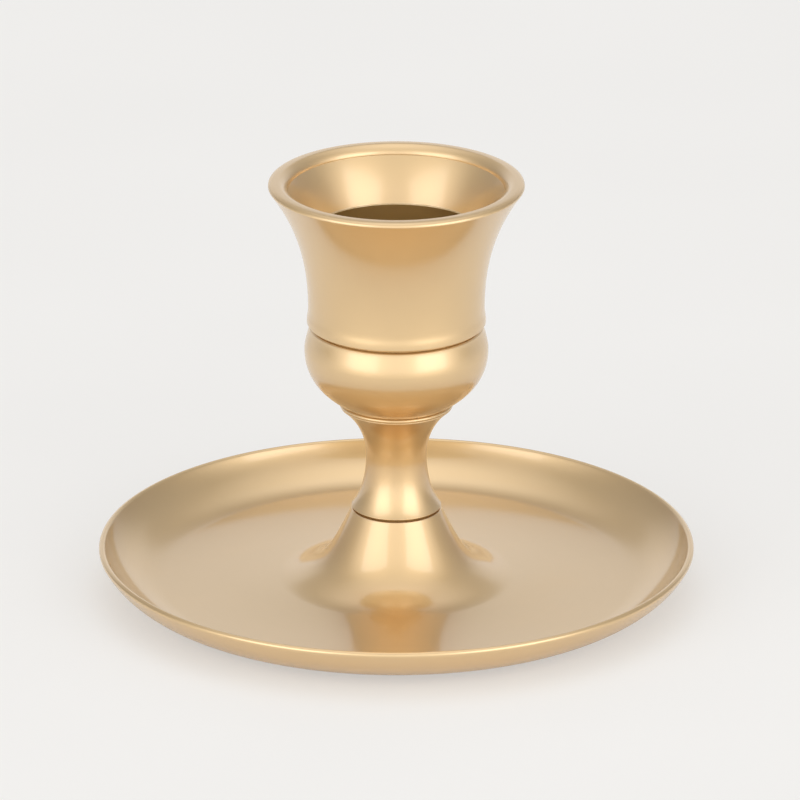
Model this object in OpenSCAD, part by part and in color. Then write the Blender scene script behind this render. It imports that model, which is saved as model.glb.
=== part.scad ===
// Chamber candlestick: a flared candle cup on a knop, a waisted neck and a
// drip tray whose middle is drawn up into a bell foot.
// One long threaded rod stands up through all of them. A nut inside the bell
// and a thin nut on the knop clamp the stand, and the cup screws onto the end
// of the rod that is left over. Threads are plain cylinders at their outer size.
// Millimetres, +Z up, the origin on the table under the middle of the tray.

/* [Drip tray] */
// Radius of the tray at the outside of its lip
tray_r = 40; // [36:1:46]
// Thickness of the pressed sheet of the tray and bell foot
tray_sheet = 0.9; // [0.7:0.1:1.1]
// Depth from the lip down to the lowest ring of the floor
tray_depth = 4.9; // [4.4:0.05:5.6]
// Radius of the lowest ring of the floor
tray_low_r = 28.3; // [27.5:0.1:29]
// Radius of the shallow arc that the floor follows
tray_floor_arc = 234; // [200:1:280]
// Lean of the wall away from level where it meets the lip, in degrees
tray_wall_deg = 61.6; // [56:0.1:64]

/* [Bell foot] */
// Height of the foot above the lowest ring of the floor
foot_h = 10; // [9.4:0.05:11.5]
// Radius of the foot at its top edge
foot_top_r = 6; // [5.9:0.05:7]
// Radius at which the bell meets the floor
foot_run_r = 14.4; // [14:0.1:15.5]
// Fall of the bell from level where it meets the floor, in degrees
foot_run_deg = 22.5; // [18:0.5:26]

/* [Neck] */
// Length of the neck, its bead included
neck_h = 14.9; // [13.5:0.05:18]
// Radius of the neck at its narrowest
neck_waist_r = 4.05; // [3.8:0.05:4.6]
// Radius of the neck at its lower edge
neck_foot_r = 6.05; // [5.7:0.05:6.3]
// Radius of the bead at the top of the neck
neck_bead_r = 7.65; // [7:0.05:8.2]
// Thickness of the bead
neck_bead_h = 0.5; // [0.4:0.05:0.8]

/* [Knop] */
// Height of the knop
knop_h = 10.9; // [10.4:0.05:13]
// Radius of the knop at its widest
knop_r = 12.29; // [11.8:0.01:13]
// Radius of the knop at its top edge
knop_top_r = 11.65; // [11.3:0.05:11.9]

/* [Candle cup] */
// Height of the cup from its seat to the outer edge of the rim
cup_h = 19.25; // [18.5:0.05:22]
// Radius of the cup at the outer edge of the rim
cup_rim_r = 17.05; // [16.5:0.05:18]
// Thickness of the cup's wall round the socket, at its waist
cup_wall_t = 0.68; // [0.6:0.02:1.3]
// How far the cup's lower edge stands out from its waist
cup_foot_out = 0.17; // [0.1:0.01:0.4]
// Width of the rounded rim
cup_rim_w = 2.65; // [2.2:0.05:3]
// Diameter of the candle that the socket holds
candle_d = 22; // [20:0.1:22]
// Depth of the plain round socket below its chamfer
socket_depth = 10.6; // [9:0.1:10.8]

/* [Fixings] */
// Diameter of the tie rod
rod_d = 4; // [3:0.5:4]
// Width across the flats of both nuts
nut_flats = 7; // [6:0.1:7]
// Thickness of the foot nut
foot_nut_h = 3.2; // [2.6:0.1:3.6]
// Thickness of the thin stem nut
stem_nut_h = 2.2; // [1.8:0.1:2.4]
// Thickness of the two fibre washers that show as dark seams
seam_t = 0.3; // [0.2:0.05:0.5]
// Thickness of the felt pad under the tray
pad_t = 0.75; // [0.6:0.05:1.5]
// Radius of the felt pad
pad_r = 29; // [26:0.5:31]

/* [Hidden] */
$fn = 96;
curve_steps = 14;
overrun = 1;
// Clearance of one turned piece round another, on the radius
turned_fit = 0.05;
// Clearance of a washer or nut that drops over the rod, on the radius
drop_fit = 0.1;
// Clearance of the candle in its socket, on the radius
candle_fit = 0.1;
// Break of every sharp turned edge
edge_break = 0.2;
// Film of glue between the pad and the tray
glue_t = 0.02;

// Levels, from the table up
tray_low_z = pad_t + glue_t + tray_sheet;
lip_z = tray_low_z + tray_depth;
foot_z = tray_low_z + foot_h;
neck_z = foot_z + seam_t;
knop_z = neck_z + neck_h;
seat_z = knop_z + knop_h;
cup_z = seat_z + seam_t;
rim_z = cup_z + cup_h;

// Fixings below the foot
foot_washer_r = 4.6;
foot_washer_t = 0.8;
spring_washer_r = 3.5;
spring_washer_t = 0.9;
spring_washer_gap = 0.7;
rod_r = rod_d / 2;
rod_break = 0.4;
rod_tail = 0.8;
foot_washer_z = foot_z - tray_sheet - foot_washer_t;
spring_washer_z = foot_washer_z - spring_washer_t;
foot_nut_z = spring_washer_z - foot_nut_h;
rod_z = foot_nut_z - rod_tail;

// Registers that centre the turned pieces on each other
foot_hole_r = 3.25;
neck_spigot_h = 1.2;
neck_tenon_r = 4.5;
neck_tenon_h = 1.8;
knop_socket_h = 2;
knop_web = 1.45;
knop_well_floor_z = knop_z + knop_socket_h + knop_web;
washer_inset = 0.6;
seat_washer_w = 2.7;
seat_washer_r = knop_top_r - washer_inset;
cup_tenon_r = seat_washer_r - seat_washer_w - edge_break - turned_fit;
stem_nut_z = knop_well_floor_z;
stem_nut_air = 0.4;
cup_tenon_z = stem_nut_z + stem_nut_h + stem_nut_air;

// Socket of the cup and the threaded bush under its floor
socket_r = candle_d / 2 + candle_fit;
cup_waist_r = socket_r + cup_wall_t;
cup_foot_r = cup_waist_r + cup_foot_out;
socket_break = 0.12;
funnel_h = 5.7;
rim_crown = 0.6;
rim_inner_drop = 0.7;
socket_mouth_z = rim_z - rim_inner_drop - funnel_h - socket_break;
socket_floor_z = socket_mouth_z - socket_depth;
bush_r = 3.6;
bush_flange_r = 5;
bush_flange_t = 0.8;
bush_air = 0.3;
cup_floor_t = 1.2;
bush_hole_top_z = socket_floor_z - cup_floor_t;
bush_top_z = bush_hole_top_z - bush_air;
rod_reach_below = 0.4;
rod_top_z = bush_top_z - rod_reach_below;

// Curves: where each handle ends, as a share of the height of its stretch,
// and the direction it leaves in, in degrees from level
bell_shares = [0.873, 0.473];
bell_deg = -65;
neck_waist_share = 0.481;
neck_lower_shares = [0.03, 0.46];
neck_lower_deg = -51.6;
neck_upper_shares = [0.586, 0.17];
neck_upper_deg = 38.5;
neck_throat_in = 0.15;
neck_throat_drop = 0.15;
knop_wide_share = 0.687;
knop_lower_shares = [0.595, 0.275];
knop_lower_deg = 215;
knop_upper_shares = [0.35, 0.19];
knop_upper_deg = 95;
cup_waist_share = 0.12;
cup_lower_share = 0.5;
cup_flare_shares = [0.504, 0.243];
cup_flare_deg = 55;
funnel_shares = [0.32, 0.38];
funnel_top_deg = 234;
funnel_low_deg = 248;

gold = [0.80, 0.66, 0.43];
brass = [0.78, 0.63, 0.32];
zinc = [0.68, 0.70, 0.72];
fibre = [0.16, 0.13, 0.11];
felt = [0.13, 0.12, 0.12];

// A point at a distance and a direction from another
function step(p, deg, d) = [p[0] + d * cos(deg), p[1] + d * sin(deg)];

// Smooth curve from p0, leaving at a0, to p3, arriving at a3
function curve(p0, a0, h0, p3, a3, h3) =
    let (p1 = step(p0, a0, h0), p2 = step(p3, a3, -h3))
    [for (i = [0 : curve_steps])
        let (t = i / curve_steps, u = 1 - t)
        u * u * u * p0 + 3 * u * u * t * p1 + 3 * u * t * t * p2 + t * t * t * p3];

// The part of a falling path that lies below a level, cut off square at it
function below(path, z) =
    let (i = max([for (k = [0 : len(path) - 1]) if (path[k][1] > z) k]),
         a = path[i],
         b = path[i + 1])
    concat([a + (b - a) * (z - a[1]) / (b[1] - a[1])],
           [for (k = [i + 1 : len(path) - 1]) path[k]]);

// Arc about a centre between two directions
function arc(centre, r, from_deg, to_deg, steps) =
    [for (i = [0 : steps])
        step(centre, from_deg + (to_deg - from_deg) * i / steps, r)];

// The list without its first point, to join stretches end to end
function tail(list) = [for (i = [1 : len(list) - 1]) list[i]];
function backwards(list) = [for (i = [len(list) - 1 : -1 : 0]) list[i]];

// The same path moved sideways by d, to the right of its run
function beside(path, d) =
    [for (i = [0 : len(path) - 1])
        let (a = path[max(i - 1, 0)],
             b = path[min(i + 1, len(path) - 1)],
             run = (b - a) / norm(b - a))
        path[i] + d * [run[1], -run[0]]];

// Upper face of the tray, from the bell out to the lip. The bell meets the floor
// at a slight angle. The wall is one arc that leaves the arc of the floor and
// meets the round of the lip smoothly.
low_centre = [tray_low_r, tray_low_z + tray_floor_arc];
run_deg = asin((tray_low_r - foot_run_r) / tray_floor_arc);
run_end = step(low_centre, -90 - run_deg, tray_floor_arc);
bell_drop = foot_z - run_end[1];
lip_centre = [tray_r - tray_sheet / 2, lip_z - tray_sheet / 2];
wall_end = step(lip_centre, 90 + tray_wall_deg, tray_sheet / 2);
wall_in = (wall_end - lip_centre) / norm(wall_end - lip_centre);
wall_span = wall_end - low_centre;
wall_arc = (tray_floor_arc * tray_floor_arc - wall_span * wall_span)
    / 2 / (tray_floor_arc + wall_in * wall_span);
wall_centre = wall_end + wall_arc * wall_in;
turn_deg = atan2(wall_centre[0] - low_centre[0], low_centre[1] - wall_centre[1]);
turn_steps = 10;
lip_steps = 8;
bell_path = curve([foot_top_r, foot_z], bell_deg, bell_shares[0] * bell_drop,
                  run_end, -foot_run_deg, bell_shares[1] * bell_drop);
floor_path = arc(low_centre, tray_floor_arc, -90 - run_deg, -90 + turn_deg, turn_steps);
wall_path = arc(wall_centre, wall_arc, -90 + turn_deg, -90 + tray_wall_deg, turn_steps);
tray_path = concat(bell_path, tail(floor_path), tail(wall_path));
tray_under = beside(tray_path, tray_sheet);

// Top of the pad, which follows the floor just under its glue
pad_edge_deg = asin((pad_r - tray_low_r) / tray_floor_arc);
pad_seat = arc(low_centre, tray_floor_arc + tray_sheet + glue_t,
               -90 - run_deg, -90 + pad_edge_deg, turn_steps);

// A hole round the axis, cut from a solid of revolution
module drill(r, z0, z1) {
    translate([0, 0, z0])
        cylinder(r = r, h = z1 - z0);
}

// A washer lying flat at a level
module ring(outer_r, inner_r, z, t) {
    difference() {
        drill(outer_r, z, z + t);
        drill(inner_r, z - overrun, z + t + overrun);
    }
}

// A hexagon nut with its corners turned off at both faces
module hex_nut(z, h) {
    corner_r = nut_flats / 2 / cos(30);
    difference() {
        intersection() {
            translate([0, 0, z])
                cylinder(r = corner_r, h = h, $fn = 6);
            rotate_extrude()
                polygon([
                    [0, z],
                    [nut_flats / 2, z],
                    [corner_r, z + (corner_r - nut_flats / 2) / 2],
                    [corner_r, z + h - (corner_r - nut_flats / 2) / 2],
                    [nut_flats / 2, z + h],
                    [0, z + h],
                ]);
        }
        drill(rod_r, z - overrun, z + h + overrun);
    }
}

// Felt disc glued under the tray, shaped on top to the tray's floor
module base_pad() {
    color(felt)
        rotate_extrude()
            polygon(concat(
                [[0, 0], [pad_seat[len(pad_seat) - 1][0], 0]],
                backwards(pad_seat),
                [[0, pad_seat[0][1]]]));
}

// Pressed tray and bell foot, one sheet from the rod hole to the lip
module drip_tray() {
    color(gold)
        rotate_extrude()
            polygon(concat(
                [[foot_hole_r, foot_z]],
                tray_path,
                tail(arc(lip_centre, tray_sheet / 2, 90 + tray_wall_deg,
                         tray_wall_deg - 90, lip_steps)),
                tail(backwards(below(tray_under, foot_z - tray_sheet))),
                [[foot_hole_r, foot_z - tray_sheet]]));
}

// Wide flat washer that spreads the pull of the nut under the foot
module foot_washer() {
    color(zinc)
        ring(foot_washer_r, rod_r + drop_fit, foot_washer_z, foot_washer_t);
}

// Split spring washer that keeps the foot nut tight
module spring_washer() {
    color(zinc)
        difference() {
            ring(spring_washer_r, rod_r + drop_fit, spring_washer_z, spring_washer_t);
            translate([0, -spring_washer_gap / 2, spring_washer_z - overrun])
                cube([spring_washer_r + overrun, spring_washer_gap,
                      spring_washer_t + 2 * overrun]);
        }
}

// Nut inside the bell foot
module foot_nut() {
    color(zinc)
        hex_nut(foot_nut_z, foot_nut_h);
}

// Threaded rod from inside the bell up into the candle cup
module tie_rod() {
    color(zinc)
        rotate_extrude()
            polygon([
                [0, rod_z],
                [rod_r - rod_break, rod_z],
                [rod_r, rod_z + rod_break],
                [rod_r, rod_top_z - rod_break],
                [rod_r - rod_break, rod_top_z],
                [0, rod_top_z],
            ]);
}

// Fibre washer between foot and neck, set back so that the seam reads dark
module neck_washer() {
    color(fibre)
        ring(neck_foot_r - washer_inset, foot_hole_r, foot_z, seam_t);
}

// Turned neck: a waisted spool with a bead on top and a register at each end
module neck() {
    waist = [neck_waist_r, neck_z + neck_waist_share * neck_h];
    throat_z = neck_z + neck_h - neck_bead_h - neck_throat_drop;
    lower_h = waist[1] - neck_z;
    upper_h = throat_z - waist[1];
    spigot_r = foot_hole_r - turned_fit;
    color(gold)
        difference() {
            rotate_extrude()
                polygon(concat(
                    [[0, neck_z - neck_spigot_h],
                     [spigot_r, neck_z - neck_spigot_h],
                     [spigot_r, neck_z],
                     [neck_foot_r - edge_break / 2, neck_z]],
                    backwards(curve(waist, -90, neck_lower_shares[0] * lower_h,
                                    [neck_foot_r, neck_z + edge_break / 2],
                                    neck_lower_deg, neck_lower_shares[1] * lower_h)),
                    tail(curve(waist, 90, neck_upper_shares[0] * upper_h,
                               [neck_bead_r - neck_throat_in, throat_z],
                               neck_upper_deg, neck_upper_shares[1] * upper_h)),
                    [[neck_bead_r - neck_throat_in, throat_z + neck_throat_drop]],
                    arc([neck_bead_r - neck_bead_h / 2, knop_z - neck_bead_h / 2],
                        neck_bead_h / 2, -90, 90, 6),
                    [[neck_tenon_r, knop_z],
                     [neck_tenon_r, knop_z + neck_tenon_h],
                     [0, knop_z + neck_tenon_h]]));
            drill(rod_r + drop_fit, neck_z - neck_spigot_h - overrun,
                  knop_z + neck_tenon_h + overrun);
        }
}

// Turned knop: a round cushion, bored out above for the tenon of the cup
module knop() {
    wide = [knop_r, knop_z + knop_wide_share * knop_h];
    upper_h = seat_z - edge_break - wide[1];
    lower_h = wide[1] - knop_z;
    color(gold)
        difference() {
            rotate_extrude()
                polygon(concat(
                    [[0, knop_z]],
                    backwards(curve(wide, -90, knop_lower_shares[0] * lower_h,
                                    [neck_bead_r - neck_bead_h / 2, knop_z],
                                    knop_lower_deg, knop_lower_shares[1] * lower_h)),
                    tail(curve(wide, 90, knop_upper_shares[0] * upper_h,
                               [knop_top_r, seat_z - edge_break],
                               knop_upper_deg, knop_upper_shares[1] * upper_h)),
                    [[knop_top_r - edge_break, seat_z],
                     [0, seat_z]]));
            drill(rod_r + drop_fit, knop_z - overrun, seat_z);
            drill(neck_tenon_r + turned_fit, knop_z - overrun, knop_z + knop_socket_h);
            drill(cup_tenon_r + turned_fit, knop_well_floor_z, seat_z + overrun);
        }
}

// Thin nut in the well of the knop, which clamps the stand
module stem_nut() {
    color(zinc)
        hex_nut(stem_nut_z, stem_nut_h);
}

// Fibre washer between knop and cup, set back so that the seam reads dark
module seat_washer() {
    color(fibre)
        ring(seat_washer_r, seat_washer_r - seat_washer_w, seat_z, seam_t);
}

// Threaded bush in the tenon of the cup, with a flange at its lower end
module threaded_bush() {
    color(brass)
        difference() {
            union() {
                drill(bush_flange_r, cup_tenon_z, cup_tenon_z + bush_flange_t);
                drill(bush_r, cup_tenon_z, bush_top_z);
            }
            drill(rod_r + turned_fit, cup_tenon_z - overrun, bush_top_z + overrun);
        }
}

// Candle cup: flared outside, a funnel and a plain round socket inside
module candle_cup() {
    waist = [cup_waist_r, cup_z + cup_waist_share * cup_h];
    flare_h = rim_z - waist[1];
    lower_h = waist[1] - cup_z - edge_break;
    rim_inner = [cup_rim_r - cup_rim_w, rim_z - rim_inner_drop];
    funnel_low = [socket_r + socket_break, socket_mouth_z + socket_break];
    rim_mid_r = cup_rim_r - cup_rim_w / 2;
    color(gold)
        difference() {
            rotate_extrude()
                polygon(concat(
                    [[0, cup_tenon_z],
                     [cup_tenon_r - edge_break, cup_tenon_z],
                     [cup_tenon_r, cup_tenon_z + edge_break],
                     [cup_tenon_r, cup_z],
                     [cup_foot_r - edge_break, cup_z]],
                    curve([cup_foot_r, cup_z + edge_break], 90, cup_lower_share * lower_h,
                          waist, 90, cup_lower_share * lower_h),
                    tail(curve(waist, 90, cup_flare_shares[0] * flare_h,
                               [cup_rim_r, rim_z],
                               cup_flare_deg, cup_flare_shares[1] * flare_h)),
                    tail(curve([cup_rim_r, rim_z], 90, rim_crown,
                               [rim_mid_r, rim_z + rim_crown], 180, rim_crown)),
                    tail(curve([rim_mid_r, rim_z + rim_crown], 180, rim_crown,
                               rim_inner, 270, rim_crown)),
                    tail(curve(rim_inner, funnel_top_deg, funnel_shares[0] * funnel_h,
                               funnel_low, funnel_low_deg, funnel_shares[1] * funnel_h)),
                    [[socket_r, socket_mouth_z],
                     [0, socket_mouth_z]]));
            drill(socket_r, socket_floor_z, socket_mouth_z + overrun);
            drill(bush_r + turned_fit, cup_tenon_z - overrun, bush_hole_top_z);
            drill(bush_flange_r + turned_fit, cup_tenon_z - overrun,
                  cup_tenon_z + bush_flange_t + bush_air);
        }
}

base_pad();
drip_tray();
foot_washer();
spring_washer();
foot_nut();
tie_rod();
neck_washer();
neck();
knop();
stem_nut();
seat_washer();
threaded_bush();
candle_cup();
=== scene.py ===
# %% [markdown]
# # A low gold candlestick
# The real object is a round drip tray, a neck, a knop and a candle cup, all
# turned or spun round one axis and finished in satin gold under clear lacquer.
# This lesson dresses the measured model: it loads the fixed frame, turns each
# visible piece again with a much finer outline, gives every piece a finish made
# of nodes, and at the end sets up the table, the room, the lamps and the camera.

# %% Load the fixed frame
import math

import bmesh
import bpy
import mathutils
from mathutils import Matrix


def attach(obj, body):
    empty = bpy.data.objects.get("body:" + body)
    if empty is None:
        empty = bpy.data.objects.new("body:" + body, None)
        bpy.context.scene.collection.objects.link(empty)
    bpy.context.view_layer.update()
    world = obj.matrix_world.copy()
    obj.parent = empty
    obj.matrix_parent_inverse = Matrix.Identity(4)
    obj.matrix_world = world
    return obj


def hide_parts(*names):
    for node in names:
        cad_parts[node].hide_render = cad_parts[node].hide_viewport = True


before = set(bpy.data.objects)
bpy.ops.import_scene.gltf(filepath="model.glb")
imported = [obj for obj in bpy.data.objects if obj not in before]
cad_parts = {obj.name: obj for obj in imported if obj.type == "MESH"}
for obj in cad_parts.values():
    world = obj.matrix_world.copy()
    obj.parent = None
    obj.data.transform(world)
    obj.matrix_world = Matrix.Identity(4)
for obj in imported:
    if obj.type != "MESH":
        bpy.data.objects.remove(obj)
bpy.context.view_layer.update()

# %% [markdown]
# ## Sizes
# Turned work is drawn as half an outline: how far out a point lies, and how
# high. The sizes below are those of the measured model, in millimetres, because
# a turner reads them that way; the last step before Blender makes them metres.
# FIT is the play of one turned piece in another, DROP that of a hole over the
# rod, and BREAK the size of a broken edge. Each level is worked out from the one
# below it, so nothing can drift apart.

# %% Sizes and levels in millimetres
MM = 0.001
TRAY_R, SHEET, TRAY_DEPTH, LOW_R, FLOOR_ARC, WALL_DEG = 40, 0.9, 4.9, 28.3, 234, 61.6
FOOT_H, FOOT_TOP_R, FOOT_RUN_R, FOOT_RUN_DEG, FOOT_HOLE_R = 10, 6, 14.4, 22.5, 3.25
NECK_H, WAIST_R, NECK_FOOT_R, BEAD_R, BEAD_H = 14.9, 4.05, 6.05, 7.65, 0.5
SPIGOT_H, NECK_TENON_R, NECK_TENON_H = 1.2, 4.5, 1.8
KNOP_H, KNOP_R, KNOP_TOP_R, KNOP_SOCKET_H, KNOP_WEB = 10.9, 12.29, 11.65, 2, 1.45
CUP_H, RIM_R, CUP_WAIST_R, CUP_FOOT_R, RIM_W = 19.25, 17.05, 11.78, 11.95, 2.65
SOCKET_R, SOCKET_DEPTH, SOCKET_BREAK, FUNNEL_H = 11.1, 10.6, 0.12, 5.7
CROWN, RIM_DROP, CUP_FLOOR = 0.6, 0.7, 1.2
BUSH_R, FLANGE_R, FLANGE_H, BUSH_AIR = 3.6, 5, 0.8, 0.3
WASHER_INSET, WASHER_W, FLAT_WASHER_H, SPRING_WASHER_H = 0.6, 2.7, 0.8, 0.9
FOOT_NUT_H, STEM_NUT_H, NUT_AIR, ROD_TAIL, ROD_BELOW = 3.2, 2.2, 0.4, 0.8, 0.4
ROD_R, SEAM, PAD_T, PAD_R, GLUE = 2, 0.3, 0.75, 29, 0.02
FIT, DROP, BREAK = 0.05, 0.1, 0.2

LOW_Z = PAD_T + GLUE + SHEET
LIP_Z = LOW_Z + TRAY_DEPTH
FOOT_Z = LOW_Z + FOOT_H
NECK_Z = FOOT_Z + SEAM
KNOP_Z = NECK_Z + NECK_H
SEAT_Z = KNOP_Z + KNOP_H
CUP_Z = SEAT_Z + SEAM
RIM_Z = CUP_Z + CUP_H
MOUTH_Z = RIM_Z - RIM_DROP - FUNNEL_H - SOCKET_BREAK
FLOOR_Z = MOUTH_Z - SOCKET_DEPTH
WELL_Z = KNOP_Z + KNOP_SOCKET_H + KNOP_WEB
print("levels:", [round(z, 2) for z in (LOW_Z, LIP_Z, FOOT_Z, KNOP_Z, WELL_Z, CUP_Z, FLOOR_Z, MOUTH_Z, RIM_Z)])

# %% [markdown]
# ## Curves for the outlines
# A turner's curve leaves one edge in a known direction and arrives at the next
# in another. A Bezier stretch says just that: two ends and two handles. It is
# sampled finely, because lacquered metal shows every facet in its reflections.

# %% Curve helpers
CURVE_STEPS = 40


def step(point, degrees, distance):
    """The point at a distance and a direction from another."""
    angle = math.radians(degrees)
    return (point[0] + distance * math.cos(angle), point[1] + distance * math.sin(angle))


def curve(start, start_deg, start_reach, end, end_deg, end_reach):
    """A smooth stretch that leaves start and arrives at end in given directions."""
    a, b = step(start, start_deg, start_reach), step(end, end_deg, -end_reach)
    points = []
    for i in range(CURVE_STEPS + 1):
        t = i / CURVE_STEPS
        u = 1 - t
        points.append(tuple(
            u ** 3 * start[k] + 3 * u * u * t * a[k] + 3 * u * t * t * b[k] + t ** 3 * end[k]
            for k in (0, 1)))
    return points


def arc(centre, radius, from_deg, to_deg, steps=CURVE_STEPS):
    """Points of an arc about a centre."""
    return [step(centre, from_deg + (to_deg - from_deg) * i / steps, radius) for i in range(steps + 1)]


def eased(path, corner, reach):
    """The same path with the bend at one of its points drawn out over a reach on both sides."""
    at = path.index(corner)
    first = [p for p in path[:at] if math.dist(p, corner) > reach]
    last = [p for p in path[at + 1:] if math.dist(p, corner) > reach]
    a, b = first[-1], last[0]
    bend = []
    for i in range(1, CURVE_STEPS):
        t = i / CURVE_STEPS
        u = 1 - t
        bend.append(tuple(u * u * a[k] + 2 * u * t * corner[k] + t * t * b[k] for k in (0, 1)))
    return first + bend + last


def beside(path, gap):
    """The same path moved sideways, to the right of its run."""
    moved = []
    for i, point in enumerate(path):
        before, after = path[max(i - 1, 0)], path[min(i + 1, len(path) - 1)]
        run = (after[0] - before[0], after[1] - before[1])
        length = math.hypot(*run)
        moved.append((point[0] + gap * run[1] / length, point[1] - gap * run[0] / length))
    return moved


# %% [markdown]
# ## Broken edges
# No turned edge is a perfect corner: it is broken with a file, catches a line of
# light, and wears first. So each corner of an outline becomes a small round, with
# a guard point on both sides that keeps the smooth shading of the faces beside
# it from bending. Each point also carries how much of an edge it is, for wear.

# %% Round the corners of an outline
CORNER_DEG = 21
ROUND, ROUND_STEPS, ROUND_SHARE = 0.12, 5, 0.4
GUARD, GUARD_SHARE = 0.05, 0.3


def soften(outline, size=ROUND):
    """The closed outline with small rounds for corners, as (radius, height, edge) points."""
    result = []
    for i, corner in enumerate(outline):
        before, after = outline[i - 1], outline[(i + 1) % len(outline)]
        back = (before[0] - corner[0], before[1] - corner[1])
        on = (after[0] - corner[0], after[1] - corner[1])
        across, along = back[0] * on[1] - back[1] * on[0], back[0] * on[0] + back[1] * on[1]
        turn = abs(math.degrees(math.atan2(across, along)))
        on_axis = corner[0] == 0
        if 180 - turn < CORNER_DEG or on_axis:
            result.append((corner[0], corner[1], 0.0))
            continue
        back_len, on_len = math.hypot(*back), math.hypot(*on)
        cut = min(size, ROUND_SHARE * back_len, ROUND_SHARE * on_len)
        guard = min(GUARD, GUARD_SHARE * cut)
        start = (corner[0] + back[0] / back_len * cut, corner[1] + back[1] / back_len * cut)
        end = (corner[0] + on[0] / on_len * cut, corner[1] + on[1] / on_len * cut)
        result.append((start[0] + back[0] / back_len * guard, start[1] + back[1] / back_len * guard, 0.0))
        for k in range(ROUND_STEPS + 1):
            t = k / ROUND_STEPS
            u = 1 - t
            result.append((u * u * start[0] + 2 * u * t * corner[0] + t * t * end[0],
                           u * u * start[1] + 2 * u * t * corner[1] + t * t * end[1], 1.0))
        result.append((end[0] + on[0] / on_len * guard, end[1] + on[1] / on_len * guard, 0.0))
    return result


# %% [markdown]
# ## Turning an outline
# Blender's Screw modifier could turn an outline, but making the rings in a mesh
# directly keeps each ring's edge value as an attribute, which a material reads
# later. A point on the axis becomes one vertex, so there is no pinched hole.

# %% Turn an outline round the axis
SIDES = 240


def turned(name, outline, body, node):
    """A solid of revolution that stands for a node of the model."""
    mesh = bpy.data.meshes.new(name)
    work = bmesh.new()
    edge_layer = work.verts.layers.float.new("edge")
    rings = []
    for radius, height, edge in outline:
        count = 1 if radius == 0 else SIDES
        ring = []
        for i in range(count):
            angle = 2 * math.pi * i / SIDES
            vertex = work.verts.new((radius * MM * math.cos(angle), radius * MM * math.sin(angle), height * MM))
            vertex[edge_layer] = edge
            ring.append(vertex)
        rings.append(ring)
    for i, ring in enumerate(rings):
        other = rings[(i + 1) % len(rings)]
        if len(ring) == 1 and len(other) == 1:
            continue
        for k in range(SIDES):
            n = (k + 1) % SIDES
            corners = [ring[k % len(ring)], ring[n % len(ring)], other[n % len(other)], other[k % len(other)]]
            work.faces.new(list(dict.fromkeys(corners)))
    bmesh.ops.recalc_face_normals(work, faces=work.faces)
    work.to_mesh(mesh)
    work.free()
    mesh.shade_smooth()
    piece = bpy.data.objects.new(name, mesh)
    bpy.context.scene.collection.objects.link(piece)
    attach(piece, body)
    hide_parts(node)
    print(name, len(mesh.polygons), "faces")
    return piece


# %% [markdown]
# ## Drip tray and bell foot
# One sheet of metal: the lathe operator spins it down over a form, so the bell
# runs out into the floor without a seam, and the floor turns up into the wall.
# The floor is a very shallow bowl. The wall is one more arc that leaves the
# floor's arc and meets the round of the lip, and its radius follows from that.
# A roller can't press a crease, so the bend at the bell's end is drawn out a bit.

# %% Outline of the tray
BELL_SHARES, BELL_DEG, RUN_EASE = (0.873, 0.473), -65, 1.3
LIP_STEPS = 16


def tray_outline():
    """Half the section of the tray, from the hole in the foot outward and back underneath."""
    low = (LOW_R, LOW_Z + FLOOR_ARC)
    run_deg = math.degrees(math.asin((LOW_R - FOOT_RUN_R) / FLOOR_ARC))
    run_end = step(low, -90 - run_deg, FLOOR_ARC)
    drop = FOOT_Z - run_end[1]
    lip = (TRAY_R - SHEET / 2, LIP_Z - SHEET / 2)
    wall_end = step(lip, 90 + WALL_DEG, SHEET / 2)
    inward = step((0, 0), 90 + WALL_DEG, 1)
    span = (wall_end[0] - low[0], wall_end[1] - low[1])
    wall_arc = (FLOOR_ARC ** 2 - span[0] ** 2 - span[1] ** 2) / 2 / (
        FLOOR_ARC + inward[0] * span[0] + inward[1] * span[1])
    centre = (wall_end[0] + wall_arc * inward[0], wall_end[1] + wall_arc * inward[1])
    turn_deg = math.degrees(math.atan2(centre[0] - low[0], low[1] - centre[1]))
    top = (curve((FOOT_TOP_R, FOOT_Z), BELL_DEG, BELL_SHARES[0] * drop,
                 run_end, -FOOT_RUN_DEG, BELL_SHARES[1] * drop)
           + arc(low, FLOOR_ARC, -90 - run_deg, -90 + turn_deg)[1:]
           + arc(centre, wall_arc, -90 + turn_deg, -90 + WALL_DEG)[1:])
    print("wall arc", round(wall_arc, 2), "mm, starts at", round(top[2 * CURVE_STEPS][0], 2), "mm")
    top = eased(top, top[CURVE_STEPS], RUN_EASE)
    under = [p for p in beside(top, SHEET) if p[1] < FOOT_Z - SHEET]
    return ([(FOOT_HOLE_R, FOOT_Z)] + top
            + arc(lip, SHEET / 2, 90 + WALL_DEG, WALL_DEG - 90, LIP_STEPS)[1:]
            + under[-2::-1] + [(FOOT_HOLE_R, FOOT_Z - SHEET)])


spun_tray = turned("spun_tray", soften(tray_outline()), "stand", "drip_tray")

# %% [markdown]
# ## Neck
# A waisted spool with a thin bead on top. Two curves meet at the waist, where
# both run straight up, so the join doesn't show in the reflection. Under the
# bead is a small step, which draws the shadow line that the real one has.

# %% Outline of the neck
THROAT = 0.15
WAIST_SHARE = 0.481
NECK_LOWER_SHARES, NECK_LOWER_DEG = (0.03, 0.46), -51.6
NECK_UPPER_SHARES, NECK_UPPER_DEG = (0.586, 0.17), 38.5
BEAD_STEPS = 14


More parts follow.
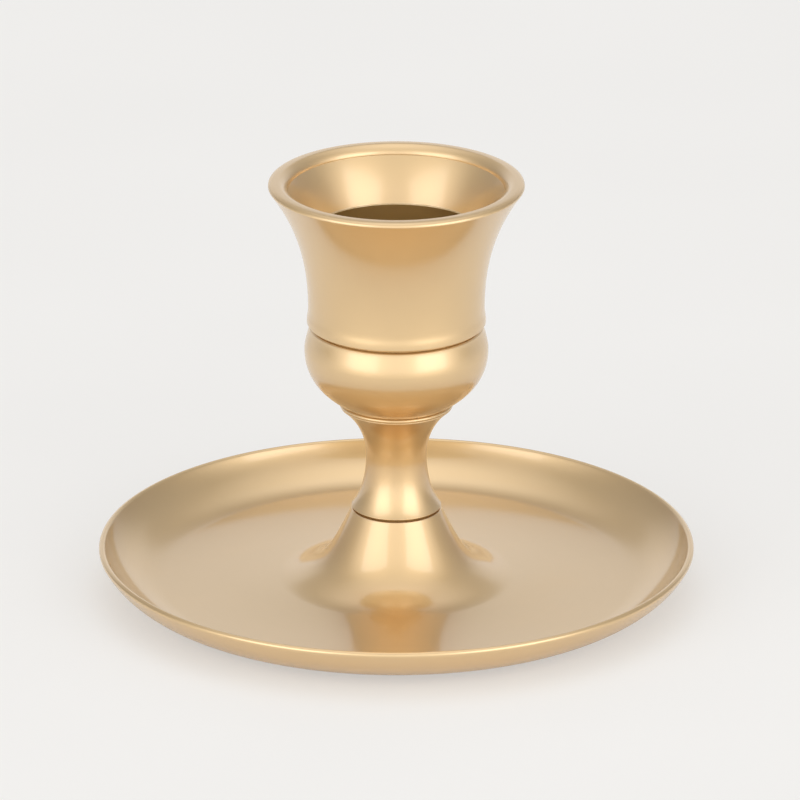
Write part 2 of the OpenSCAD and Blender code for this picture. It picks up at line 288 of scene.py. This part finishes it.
def neck_outline():
    """Half the section of the neck, with a spigot below and a tenon above."""
    waist = (WAIST_R, NECK_Z + WAIST_SHARE * NECK_H)
    throat_z = KNOP_Z - BEAD_H - THROAT
    below, above = waist[1] - NECK_Z, throat_z - waist[1]
    foot = curve(waist, -90, NECK_LOWER_SHARES[0] * below,
                 (NECK_FOOT_R, NECK_Z + BREAK / 2), NECK_LOWER_DEG, NECK_LOWER_SHARES[1] * below)
    spread = curve(waist, 90, NECK_UPPER_SHARES[0] * above,
                   (BEAD_R - THROAT, throat_z), NECK_UPPER_DEG, NECK_UPPER_SHARES[1] * above)
    bore, spigot = ROD_R + DROP, FOOT_HOLE_R - FIT
    return ([(bore, NECK_Z - SPIGOT_H), (spigot, NECK_Z - SPIGOT_H), (spigot, NECK_Z),
             (NECK_FOOT_R - BREAK / 2, NECK_Z)]
            + foot[::-1] + spread[1:] + [(BEAD_R - THROAT, throat_z + THROAT)]
            + arc((BEAD_R - BEAD_H / 2, KNOP_Z - BEAD_H / 2), BEAD_H / 2, -90, 90, BEAD_STEPS)
            + [(NECK_TENON_R, KNOP_Z), (NECK_TENON_R, KNOP_Z + NECK_TENON_H), (bore, KNOP_Z + NECK_TENON_H)])


waisted_neck = turned("waisted_neck", soften(neck_outline()), "stand", "neck")

# %% [markdown]
# ## Knop
# A round cushion, bored out above for the tenon of the cup. Its widest ring lies
# above the middle, which makes it look as if it swelled under the cup's weight.
# One curve could run from the bead to the seat, but two that meet at that ring
# keep it in its place while either half is tried out.

# %% Outline of the knop
TENON_R = KNOP_TOP_R - WASHER_INSET - WASHER_W - BREAK - FIT
WIDE_SHARE = 0.687
KNOP_LOWER_SHARES, KNOP_LOWER_DEG = (0.595, 0.275), 215
KNOP_UPPER_SHARES, KNOP_UPPER_DEG = (0.35, 0.19), 95


def knop_outline():
    """Half the section of the knop, with a socket below and the cup's register above."""
    wide = (KNOP_R, KNOP_Z + WIDE_SHARE * KNOP_H)
    below, above = wide[1] - KNOP_Z, SEAT_Z - BREAK - wide[1]
    lower = curve(wide, -90, KNOP_LOWER_SHARES[0] * below,
                  (BEAD_R - BEAD_H / 2, KNOP_Z), KNOP_LOWER_DEG, KNOP_LOWER_SHARES[1] * below)
    upper = curve(wide, 90, KNOP_UPPER_SHARES[0] * above,
                  (KNOP_TOP_R, SEAT_Z - BREAK), KNOP_UPPER_DEG, KNOP_UPPER_SHARES[1] * above)
    bore, well, socket = ROD_R + DROP, TENON_R + FIT, NECK_TENON_R + FIT
    return ([(socket, KNOP_Z)] + lower[::-1] + upper[1:]
            + [(KNOP_TOP_R - BREAK, SEAT_Z), (well, SEAT_Z), (well, WELL_Z),
               (bore, WELL_Z), (bore, KNOP_Z + KNOP_SOCKET_H), (socket, KNOP_Z + KNOP_SOCKET_H)])


round_knop = turned("round_knop", soften(knop_outline()), "stand", "knop")

# %% [markdown]
# ## Candle cup
# Outside it flares like a small bell turned over. Inside, a funnel leads the
# candle to a plain round socket. The rim between them is one rounded band. An
# outside line with a Solidify modifier would be quicker, but this wall isn't of
# one thickness, so the whole section is drawn, outside and inside.

# %% Outline of the cup
CUP_WAIST_SHARE, CUP_LOWER_SHARE = 0.12, 0.5
FLARE_SHARES, FLARE_DEG = (0.504, 0.243), 55
FUNNEL_SHARES, FUNNEL_TOP_DEG, FUNNEL_LOW_DEG = (0.32, 0.38), 234, 248


def cup_outline():
    """Half the section of the cup, from the hole for the bush outward, over the rim and in."""
    tenon_z = WELL_Z + STEM_NUT_H + NUT_AIR
    flange_z = tenon_z + FLANGE_H + BUSH_AIR
    hole_top = FLOOR_Z - CUP_FLOOR
    waist = (CUP_WAIST_R, CUP_Z + CUP_WAIST_SHARE * CUP_H)
    flare_h, lower_h = RIM_Z - waist[1], waist[1] - CUP_Z - BREAK
    rim_out, rim_mid = (RIM_R, RIM_Z), (RIM_R - RIM_W / 2, RIM_Z + CROWN)
    rim_in = (RIM_R - RIM_W, RIM_Z - RIM_DROP)
    mouth = (SOCKET_R + SOCKET_BREAK, MOUTH_Z + SOCKET_BREAK)
    outside = (curve((CUP_FOOT_R, CUP_Z + BREAK), 90, CUP_LOWER_SHARE * lower_h,
                     waist, 90, CUP_LOWER_SHARE * lower_h)
               + curve(waist, 90, FLARE_SHARES[0] * flare_h,
                       rim_out, FLARE_DEG, FLARE_SHARES[1] * flare_h)[1:])
    rim = curve(rim_out, 90, CROWN, rim_mid, 180, CROWN)[1:] + curve(rim_mid, 180, CROWN, rim_in, 270, CROWN)[1:]
    funnel = curve(rim_in, FUNNEL_TOP_DEG, FUNNEL_SHARES[0] * FUNNEL_H,
                   mouth, FUNNEL_LOW_DEG, FUNNEL_SHARES[1] * FUNNEL_H)[1:]
    bush, flange = BUSH_R + FIT, FLANGE_R + FIT
    return ([(bush, hole_top), (bush, flange_z), (flange, flange_z), (flange, tenon_z),
             (TENON_R - BREAK, tenon_z), (TENON_R, tenon_z + BREAK), (TENON_R, CUP_Z), (CUP_FOOT_R - BREAK, CUP_Z)]
            + outside + rim + funnel
            + [(SOCKET_R, MOUTH_Z), (SOCKET_R, FLOOR_Z), (0, FLOOR_Z), (0, hole_top)])


flared_cup = turned("flared_cup", soften(cup_outline()), "cup", "candle_cup")

# %% [markdown]
# ## Tie rod
# The rod that holds the stand together is cut with a real screw thread. A Screw
# modifier could sweep one ridge round it, but would leave its ends open. A grid
# of points does it: each point's distance from the axis depends on how far it is
# along the pitch, counted with its turn, so the ridges climb round the rod.

# %% Threaded rod
PITCH, THREAD_DEPTH, THREAD_FLAT, ROD_BREAK = 0.7, 0.4, 1.25, 0.4
ROD_SIDES, ROWS_PER_TURN, SHARP_DEG = 48, 10, 40


def threaded_rod():
    """The rod with its thread, from under the foot nut to inside the bush."""
    bottom = FOOT_Z - SHEET - FLAT_WASHER_H - SPRING_WASHER_H - FOOT_NUT_H - ROD_TAIL
    top = FLOOR_Z - CUP_FLOOR - BUSH_AIR - ROD_BELOW
    rows = round((top - bottom) / PITCH * ROWS_PER_TURN)
    points, faces = [], []
    for j in range(rows + 1):
        z = bottom + (top - bottom) * j / rows
        from_end = min(z - bottom, top - z)
        for i in range(ROD_SIDES):
            share = (z / PITCH - i / ROD_SIDES) % 1
            ridge = min(1, THREAD_FLAT * abs(2 * share - 1))
            radius = min(ROD_R - THREAD_DEPTH * (1 - ridge), ROD_R - ROD_BREAK + from_end)
            angle = 2 * math.pi * i / ROD_SIDES
            points.append((radius * MM * math.cos(angle), radius * MM * math.sin(angle), z * MM))
    for j in range(rows):
        for i in range(ROD_SIDES):
            n = (i + 1) % ROD_SIDES
            low, high = j * ROD_SIDES, (j + 1) * ROD_SIDES
            faces.append((low + i, low + n, high + n, high + i))
    faces.append(tuple(range(ROD_SIDES - 1, -1, -1)))
    faces.append(tuple(rows * ROD_SIDES + i for i in range(ROD_SIDES)))
    mesh = bpy.data.meshes.new("threaded_rod")
    mesh.from_pydata(points, [], faces)
    mesh.shade_smooth()
    mesh.set_sharp_from_angle(angle=math.radians(SHARP_DEG))
    piece = bpy.data.objects.new("threaded_rod", mesh)
    bpy.context.scene.collection.objects.link(piece)
    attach(piece, "stand")
    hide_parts("tie_rod")
    print("threaded_rod", len(faces), "faces,", round((top - bottom) / PITCH, 1), "turns")
    return piece


tie_rod = threaded_rod()

# %% [markdown]
# ## Felt disc
# A disc of pressed felt is glued under the tray, so that metal doesn't scratch
# the table. It is cut with a punch: its edge is nearly square but a little
# ragged, so the radius there wanders by about a tenth of a millimetre.

# %% Felt under the tray
EDGE_WANDER, WANDER_BAND, WANDER_SCALE = 0.12, 0.5, 1400
FELT_ROUND = 0.2


def felt_outline():
    """Half the section of the felt, which fills the space under the tray's floor."""
    low = (LOW_R, LOW_Z + FLOOR_ARC)
    under = FLOOR_ARC + SHEET + GLUE
    run_deg = math.degrees(math.asin((LOW_R - FOOT_RUN_R) / FLOOR_ARC))
    edge_deg = math.degrees(math.asin((PAD_R - LOW_R) / FLOOR_ARC))
    seat = arc(low, under, -90 - run_deg, -90 + edge_deg)
    return [(0, 0), (seat[-1][0], 0)] + seat[::-1] + [(0, seat[0][1])]


felt_disc = turned("felt_disc", soften(felt_outline(), FELT_ROUND), "stand", "base_pad")
for vertex in felt_disc.data.vertices:
    radius = math.hypot(vertex.co.x, vertex.co.y)
    if radius > (PAD_R - WANDER_BAND) * MM:
        wander = mathutils.noise.noise(vertex.co * WANDER_SCALE) * EDGE_WANDER * MM
        shrink = 1 + (wander - EDGE_WANDER * MM) / radius
        vertex.co.x, vertex.co.y = vertex.co.x * shrink, vertex.co.y * shrink

# %% [markdown]
# ## Node maths as Python
# A node tree is a sum written in boxes. This small class wraps one output socket,
# so that `0.3 + 0.1 * grain` adds the two Math nodes itself. Everything that
# isn't plain arithmetic on a value comes from its one method `node`.

# %% A socket that can be reckoned with
class Wire:
    """One output socket of a node tree."""

    def __init__(self, tree, socket=None):
        self.tree, self.socket = tree, socket

    def node(self, kind, settings=None, inputs=None, out=0):
        """A new node of a kind, set up and wired; the Wire of one of its outputs."""
        made = self.tree.nodes.new(kind)
        for key, value in (settings or {}).items():
            if key == "stops":
                for place, shade in value[2:]:
                    made.color_ramp.elements.new(place)
                for element, (place, shade) in zip(made.color_ramp.elements, value):
                    element.position, element.color = place, (*shade, 1)
            else:
                setattr(made, key, value)
        for key, value in (inputs or {}).items():
            socket = next(s for s in made.inputs if key in (s.identifier, s.name))
            if isinstance(value, Wire):
                self.tree.links.new(value.socket, socket)
            else:
                socket.default_value = value
        return Wire(self.tree, next(s for i, s in enumerate(made.outputs) if out in (i, s.identifier, s.name)))

    def sum(self, operation, left, right=0):
        """One Math node."""
        return self.node("ShaderNodeMath", {"operation": operation}, {"Value": left, "Value_001": right})

    def __add__(self, other):
        return self.sum("ADD", self, other)

    def __sub__(self, other):
        return self.sum("SUBTRACT", self, other)

    def __rsub__(self, other):
        return self.sum("SUBTRACT", other, self)

    def __mul__(self, other):
        return self.sum("MULTIPLY", self, other)

    def __pow__(self, other):
        return self.sum("POWER", self, other)

    __radd__ = __add__
    __rmul__ = __mul__

    def mix(self, low, high):
        """A colour between two, with this wire as the share of the second."""
        return self.node("ShaderNodeMix", {"data_type": "RGBA"},
                         {"Factor_Float": self, "A_Color": low, "B_Color": high}, "Result_Color")

    def between(self, low, high):
        """0 below low, 1 above high, and a straight run between."""
        return self.node("ShaderNodeMapRange", {}, {"Value": self, "From Min": low, "From Max": high})


# %% [markdown]
# ## Shared parts of a finish
# Every finish starts from where a point lies on its own piece, so the marks move
# with the piece. `grain` is noise at a real size in millimetres.

# %% Helpers for finishes
def finish(name, **plain):
    """A new material; its Wire, and its shader with values that are the same all over."""
    material = bpy.data.materials.new(name)
    material.use_nodes = True
    shader = material.node_tree.nodes["Principled BSDF"]
    for key, value in plain.items():
        socket = shader.inputs[key.replace("_", " ").title().replace("Ior", "IOR")]
        socket.default_value = value
    return material, Wire(material.node_tree), shader


def feed(shader, **wires):
    """Joins what changes over the surface to the shader."""
    for key, wire in wires.items():
        wire.tree.links.new(wire.socket, shader.inputs[key.replace("_", " ").title()])


def place(start):
    """Where a point lies on its piece, in metres."""
    return start.node("ShaderNodeTexCoord", out="Object")


def grain(start, where, size_mm, detail=2.0, rough=0.5):
    """Noise whose clumps are about so many millimetres across."""
    return start.node("ShaderNodeTexNoise", {"normalize": True},
                      {"Vector": where, "Scale": 1 / (size_mm * MM), "Detail": detail, "Roughness": rough}, "Fac")


def lathe_place(start, stretch):
    """The same place for a whole ring, but for a slow change round it: marks of a lathe."""
    where = place(start)
    x = start.node("ShaderNodeSeparateXYZ", {}, {"Vector": where}, "X")
    y = start.node("ShaderNodeSeparateXYZ", {}, {"Vector": where}, "Y")
    z = start.node("ShaderNodeSeparateXYZ", {}, {"Vector": where}, "Z")
    radius = (x * x + y * y) ** 0.5
    around = start.sum("ARCTAN2", y, x)
    return start.node("ShaderNodeCombineXYZ", {}, {"X": radius, "Y": around * (stretch * MM), "Z": z})


def bump(start, height, depth_mm, normal=None):
    """A surface normal from a height that runs from 0 to 1, so many millimetres deep."""
    inputs = {"Height": height, "Distance": depth_mm * MM, "Strength": 1.0}
    if normal:
        inputs["Normal"] = normal
    return start.node("ShaderNodeBump", {}, inputs, "Normal")


# %% [markdown]
# ## Satin gold under clear lacquer
# The dish shows crisp mirror images in a neutral white, and under them a broad
# golden glow. That is two layers: satin metal below and clear lacquer on top.
# The shader's metal takes the gold and a wide roughness, and its coat is the
# lacquer: its own colourless, sharp reflection. A mix of two shaders could do it
# too, but the coat keeps both layers in one. Fine rings come from the lathe.
# The tray's foot is a little duller than its dish, because the roller that spins
# the metal down over the form leaves more marks there. The gold inside the candle
# socket is painted darker, as painted shade for that deep, narrow hole.

# %% Colours and marks of the gold
LACQUER_IOR = 1.9
GOLD_LOW, GOLD_HIGH = (0.748, 0.526, 0.258, 1), (0.778, 0.551, 0.278, 1)
# The socket gold is painted shade: a darker gold for the inside of the deep candle socket.
GOLD_WORN, GOLD_SOCKET_SHADE = (0.84, 0.66, 0.43, 1), (0.60, 0.45, 0.22, 1)
FOOT_DULL_FROM, FOOT_DULL_TO = 10, 16
# Where the painted shade of the candle socket lies: inside its wall and down to its floor.
SOCKET_SHADE_IN, SOCKET_SHADE_OUT = SOCKET_R + 0.02, SOCKET_R + 0.1
SOCKET_SHADE_UNDER, SOCKET_SHADE_START = FLOOR_Z - 0.4, FLOOR_Z - 0.2
CLOUD_LOW, CLOUD_HIGH, WEAR_LOW = 0.3, 0.7, 0.35
THIN_FROM, THIN_FULL = 0.55, 0.8
CLOUD_MM, WEAR_MM, SPECKLE_MM, SPECKLE_DEPTH, RING_STRETCH = 14, 1.6, 0.12, 0.0012, 0.6
CLOUD_ROUGH, RING_ROUGH, WORN_ROUGH = 0.05, 0.04, 0.06
THIN_LACQUER, WORN_LACQUER, WORN_TONE = 0.1, 0.2, 0.5
print("duller foot out to", FOOT_DULL_TO, "mm, darker socket from", round(SOCKET_SHADE_START, 2), "mm up")

# %% Gold
def gold(name, ring_mm, ring_depth, roughness, lacquer_roughness, rougher_foot=0.0):
    """Satin gold under lacquer, with lathe rings so many millimetres apart and deep."""
    material, start, shader = finish(
        name, metallic=1.0, coat_roughness=lacquer_roughness, coat_ior=LACQUER_IOR)
    where, ring_place = place(start), lathe_place(start, RING_STRETCH)
    radius = start.node("ShaderNodeSeparateXYZ", {}, {"Vector": ring_place}, "X")
    height = start.node("ShaderNodeSeparateXYZ", {}, {"Vector": ring_place}, "Z")
    foot = radius.between(FOOT_DULL_TO * MM, FOOT_DULL_FROM * MM)
    # This mask marks the inside of the candle socket, which gets painted shade.
    socket = (radius.between(SOCKET_SHADE_OUT * MM, SOCKET_SHADE_IN * MM)
              * height.between(SOCKET_SHADE_UNDER * MM, SOCKET_SHADE_START * MM))
    rings = grain(start, ring_place, ring_mm, detail=3.0, rough=0.6)
    speckle = grain(start, where, SPECKLE_MM)
    cloud = grain(start, where, CLOUD_MM, detail=3.0)
    edge = start.node("ShaderNodeAttribute", {"attribute_name": "edge"}, out="Fac")
    worn = edge * grain(start, where, WEAR_MM, detail=3.0).between(WEAR_LOW, CLOUD_HIGH)
    polished = cloud.between(CLOUD_LOW, CLOUD_HIGH).mix(GOLD_LOW, GOLD_HIGH)
    feed(shader,
         base_color=(WORN_TONE * worn).mix(socket.mix(polished, GOLD_SOCKET_SHADE), GOLD_WORN),
         roughness=(roughness + rougher_foot * foot + CLOUD_ROUGH * (cloud - 0.5)
                    + RING_ROUGH * (rings - 0.5) - WORN_ROUGH * worn),
         coat_weight=1 - THIN_LACQUER * cloud.between(THIN_FROM, THIN_FULL) - WORN_LACQUER * worn,
         normal=bump(start, rings, ring_depth, bump(start, speckle, SPECKLE_DEPTH)))
    return material


gold_turned = gold("gold_turned", ring_mm=0.22, ring_depth=0.0030, roughness=0.43, lacquer_roughness=0.18)
gold_tray = gold("gold_tray", ring_mm=0.35, ring_depth=0.0022, roughness=0.38, lacquer_roughness=0.12,
                 rougher_foot=0.10)
for piece, material in ((spun_tray, gold_tray), (waisted_neck, gold_turned),
                        (round_knop, gold_turned), (flared_cup, gold_turned)):
    piece.data.materials.append(material)
    print(piece.name, "wears", material.name, "with", len(material.node_tree.nodes), "nodes")

# %% [markdown]
# ## Zinc plate and plain brass
# The rod, the nuts and the washers of the foot are steel under a thin coat of
# zinc. Plate isn't even: it has a cloudy, slightly blue shine, so its colour and
# its roughness follow the same slow noise. The bush in the cup is bare brass, and
# fine rings of the lathe decide how it shines.

# %% Zinc plate
ZINC_DARK, ZINC_PALE = (0.55, 0.57, 0.60, 1), (0.70, 0.71, 0.72, 1)
METAL_STRETCH = 0.5


def zinc():
    """Cloudy bright plate."""
    material, start, shader = finish("zinc_steel", metallic=1.0)
    cloud = grain(start, place(start), size_mm=1.5, detail=4.0)
    rings = grain(start, lathe_place(start, METAL_STRETCH), size_mm=0.12)
    feed(shader,
         base_color=cloud.between(CLOUD_LOW, CLOUD_HIGH).mix(ZINC_DARK, ZINC_PALE),
         roughness=0.26 + 0.16 * cloud,
         normal=bump(start, rings, depth_mm=0.004))
    return material


# %% Plain brass
BRASS_DARK, BRASS_PALE = (0.70, 0.50, 0.22, 1), (0.82, 0.62, 0.30, 1)


def plain_brass():
    """Turned brass without lacquer."""
    material, start, shader = finish("bush_brass", metallic=1.0)
    rings = grain(start, lathe_place(start, METAL_STRETCH), size_mm=0.1, detail=3.0)
    cloud = grain(start, place(start), size_mm=2.0, detail=3.0)
    feed(shader,
         base_color=cloud.between(CLOUD_LOW, CLOUD_HIGH).mix(BRASS_DARK, BRASS_PALE),
         roughness=0.24 + 0.12 * rings,
         normal=bump(start, rings, depth_mm=0.006))
    return material


# %% [markdown]
# ## Fibre and felt
# Two thin fibre washers show as the dark seams under the cup and under the neck.
# They lie back in a narrow groove, which darkens them by itself, and their tones
# are set as painted shade for each seam: a dark brown at the neck, a paler one at
# the seat, where the seam is fainter. Threads run round them. Felt is a mat of
# hairs that scatters light at its surface, and the shader's sheen does that.

# %% Fibre
# Painted shade: these washer tones are set by how dark each seam looks, darker at the neck than at the seat.
NECK_FIBRE_SHADE_DARK, NECK_FIBRE_SHADE_PALE = (0.28, 0.17, 0.06, 1), (0.46, 0.30, 0.11, 1)
SEAT_FIBRE_SHADE_DARK, SEAT_FIBRE_SHADE_PALE = (0.52, 0.36, 0.16, 1), (0.74, 0.55, 0.28, 1)
THREAD_STRETCH, THREAD_LOW, THREAD_HIGH = 3.0, 0.35, 0.75


def fibre(name, dark, pale):
    """Pressed fibre with threads between a dark and a pale tone."""
    material, start, shader = finish(name, specular_ior_level=0.4)
    threads = grain(start, lathe_place(start, THREAD_STRETCH), size_mm=0.15, detail=4.0, rough=0.7)
    feed(shader,
         base_color=threads.between(THREAD_LOW, THREAD_HIGH).mix(dark, pale),
         roughness=0.6 + 0.25 * threads,
         normal=bump(start, threads, depth_mm=0.02))
    return material


# %% Felt
FELT_DARK, FELT_PALE = (0.008, 0.008, 0.009, 1), (0.045, 0.042, 0.042, 1)
HAIR_DEPTH, CLUMP_DEPTH = 0.09, 0.12


def felt():
    """Black pressed felt."""
    material, start, shader = finish("felt", sheen_weight=0.5, sheen_roughness=0.6, specular_ior_level=0.15)
    hairs = grain(start, place(start), size_mm=0.18, detail=5.0, rough=0.75)
    clumps = grain(start, place(start), size_mm=1.8, detail=3.0)
    feed(shader,
         base_color=(0.6 * hairs + 0.4 * clumps).between(CLOUD_LOW, CLOUD_HIGH).mix(FELT_DARK, FELT_PALE),
         roughness=0.85 + 0.15 * hairs,
         normal=bump(start, hairs, HAIR_DEPTH, bump(start, clumps, CLUMP_DEPTH)))
    return material


# %% Give the hidden pieces their finishes
zinc_steel, bush_brass, black_felt = zinc(), plain_brass(), felt()
# The two fibre finishes differ only in painted shade, because the neck's seam is darker than the seat's.
neck_fibre_shade = fibre("neck_fibre_shade", NECK_FIBRE_SHADE_DARK, NECK_FIBRE_SHADE_PALE)
seat_fibre_shade = fibre("seat_fibre_shade", SEAT_FIBRE_SHADE_DARK, SEAT_FIBRE_SHADE_PALE)
tie_rod.data.materials.append(zinc_steel)
felt_disc.data.materials.append(black_felt)
for node, material in (("foot_washer", zinc_steel), ("spring_washer", zinc_steel), ("foot_nut", zinc_steel),
                       ("stem_nut", zinc_steel), ("threaded_bush", bush_brass),
                       ("neck_washer", neck_fibre_shade), ("seat_washer", seat_fibre_shade)):
    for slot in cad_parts[node].material_slots:
        slot.material = material
    print(node, "wears", material.name)

# %% [markdown]
# ## Table
# The candlestick stands on a white table that fills the picture. A white surface
# alone would render grey in its own soft shadow, so half of what the camera sees
# of it is its plain colour, glowing, and the other half is lit and keeps the
# shadow. Mirrored in gold it is mostly lit, so that the shadow under the tray
# shows in the gold too.

# %% Table
TABLE_HALF, TABLE_CLOUD_MM, SEEN_GLOW, MIRRORED_GLOW = 2.0, 90, 0.5, 0.15
TABLE_DARK, TABLE_PALE = (0.877, 0.872, 0.862, 1), (0.897, 0.892, 0.882, 1)


def table():
    """The table top, which isn't part of the object."""
    mesh = bpy.data.meshes.new("table_top")
    corners = [(-TABLE_HALF, -TABLE_HALF, 0), (TABLE_HALF, -TABLE_HALF, 0),
               (TABLE_HALF, TABLE_HALF, 0), (-TABLE_HALF, TABLE_HALF, 0)]
    mesh.from_pydata(corners, [], [(0, 1, 2, 3)])
    top = bpy.data.objects.new("table_top", mesh)
    bpy.context.scene.collection.objects.link(top)
    material, start, shader = finish("table_white", roughness=0.8, specular_ior_level=0.2)
    cloud = grain(start, place(start), TABLE_CLOUD_MM)
    tone = cloud.between(CLOUD_LOW, CLOUD_HIGH).mix(TABLE_DARK, TABLE_PALE)
    feed(shader, base_color=tone)
    seen = start.node("ShaderNodeLightPath", out="Is Camera Ray")
    mirrored = start.node("ShaderNodeLightPath", out="Is Glossy Ray")
    plain = start.node("ShaderNodeEmission", {}, {"Color": tone, "Strength": 1.0})
    lit = Wire(start.tree, shader.outputs["BSDF"])
    share = SEEN_GLOW * seen + MIRRORED_GLOW * mirrored
    both = start.node("ShaderNodeMixShader", {}, {"Fac": share, "Shader": lit, "Shader_001": plain})
    start.tree.links.new(both.socket, start.tree.nodes["Material Output"].inputs["Surface"])
    mesh.materials.append(material)
    print("table", 2 * TABLE_HALF, "m wide")


table()

# %% [markdown]
# ## Room
# Gold shows little colour of its own: it is a mirror of the room. Walls could be
# built, but the world is easier to set, because it asks only which way a ray
# goes. One ramp tells how bright the room is by height toward the back, one at
# the sides and one in front, and the direction round the table mixes the three.
# The step down in the rear ramp is the top edge of a white backdrop: the tray
# mirrors the darker room above it as a crescent behind the foot. Each stop is a
# height, from 0 level to 1 straight up, and a brightness.

# %% Room
REAR = ((0, 0.90), (0.30, 0.95), (0.42, 0.90), (0.50, 0.45), (0.62, 0.38), (0.74, 0.65), (0.91, 1.35), (1, 1.35))
SIDE = ((0, 0.35), (0.28, 0.44), (0.59, 0.48), (0.74, 0.50), (0.91, 0.97), (1, 1.35))
FRONT = ((0, 1.42), (0.28, 1.38), (0.44, 1.20), (0.59, 1.02), (0.74, 0.72), (0.91, 0.95), (1, 1.35))
REAR_FROM, REAR_FULL = 0.68, 0.95
FRONT_FROM, FRONT_FULL = 0.1, -0.45
WARM = (1.0, 0.985, 0.965)
NEVER_ZERO = 0.0001


def ramp(start, height, stops):
    """A slightly warm grey by height."""
    shades = [(at, tuple(glow * part for part in WARM)) for at, glow in stops]
    return start.node("ShaderNodeValToRGB", {"stops": shades}, {"Fac": height}, "Color")


def room():
    """The world round the table."""
    world = bpy.data.worlds.new("studio")
    bpy.context.scene.world = world
    world.use_nodes = True
    start = Wire(world.node_tree)
    way = start.node("ShaderNodeTexCoord", out="Generated")
    x = start.node("ShaderNodeSeparateXYZ", {}, {"Vector": way}, "X")
    y = start.node("ShaderNodeSeparateXYZ", {}, {"Vector": way}, "Y")
    up = start.node("ShaderNodeSeparateXYZ", {}, {"Vector": way}, "Z")
    toward_back = y * (x * x + y * y + NEVER_ZERO) ** -0.5
    glow = toward_back.between(REAR_FROM, REAR_FULL).mix(ramp(start, up, SIDE), ramp(start, up, REAR))
    glow = toward_back.between(FRONT_FROM, FRONT_FULL).mix(glow, ramp(start, up, FRONT))
    background = world.node_tree.nodes["Background"]
    world.node_tree.links.new(glow.socket, background.inputs["Color"])
    background.inputs["Strength"].default_value = 1.0
    print("room of", len(world.node_tree.nodes), "nodes")


room()

# %% [markdown]
# ## Lamps
# Two soft boxes stand in front, one on either side, and make the pair of bright
# stripes on every round piece. An area lamp gives the soft edge of a real soft
# box. Its power follows from how bright its face is and how large, so a lamp of
# another size keeps its brightness.

# %% Lamps
LAMP_DISTANCE, LAMP_WIDE, LAMP_HIGH, LAMP_ELEVATION = 1.0, 0.75, 0.78, 22


def lamp(name, azimuth, glow):
    """A soft box that looks at the candlestick; azimuth 0 is straight in front."""
    light = bpy.data.lights.new(name, "AREA")
    light.shape, light.size, light.size_y = "RECTANGLE", LAMP_WIDE, LAMP_HIGH
    light.energy = glow * math.pi * LAMP_WIDE * LAMP_HIGH
    light.color = WARM
    stand = bpy.data.objects.new(name, light)
    a, e = math.radians(azimuth), math.radians(LAMP_ELEVATION)
    away = mathutils.Vector((math.sin(a) * math.cos(e), -math.cos(a) * math.cos(e), math.sin(e)))
    stand.location = away * LAMP_DISTANCE
    stand.rotation_euler = away.to_track_quat("Z", "Y").to_euler()
    bpy.context.scene.collection.objects.link(stand)
    print(name, round(light.energy, 2), "W")


lamp("soft_left", azimuth=-43, glow=0.95)
lamp("soft_right", azimuth=45, glow=1.1)

# %% [markdown]
# ## Camera
# A long lens from far off, about 20 degrees above the table, gives the flat
# ellipses of a product photograph. The camera looks at a point on the axis, and
# the shift, given in pixels of the picture, moves the candlestick in its frame
# without turning the camera.

# %% Camera
AIM_Z, DISTANCE, ELEVATION = 29.42, 1250, 20.4
SENSOR, LENS, CLIP_END = 36, 420.9, 10
SHIFT_X, SHIFT_Y, PICTURE = 3.6, -17.3, 800
tilt = math.radians(ELEVATION)
camera_data = bpy.data.cameras.new("camera")
camera_data.sensor_width, camera_data.lens, camera_data.clip_end = SENSOR, LENS, CLIP_END
camera_data.shift_x, camera_data.shift_y = SHIFT_X / PICTURE, SHIFT_Y / PICTURE
camera = bpy.data.objects.new("camera", camera_data)
camera.location = (0, -DISTANCE * MM * math.cos(tilt), (AIM_Z + DISTANCE * math.sin(tilt)) * MM)
camera.rotation_euler = (math.pi / 2 - tilt, 0, 0)
bpy.context.scene.collection.objects.link(camera)
bpy.context.scene.camera = camera
bpy.context.scene.view_settings.view_transform = "Standard"
print("camera at", [round(c, 3) for c in camera.location], "m")
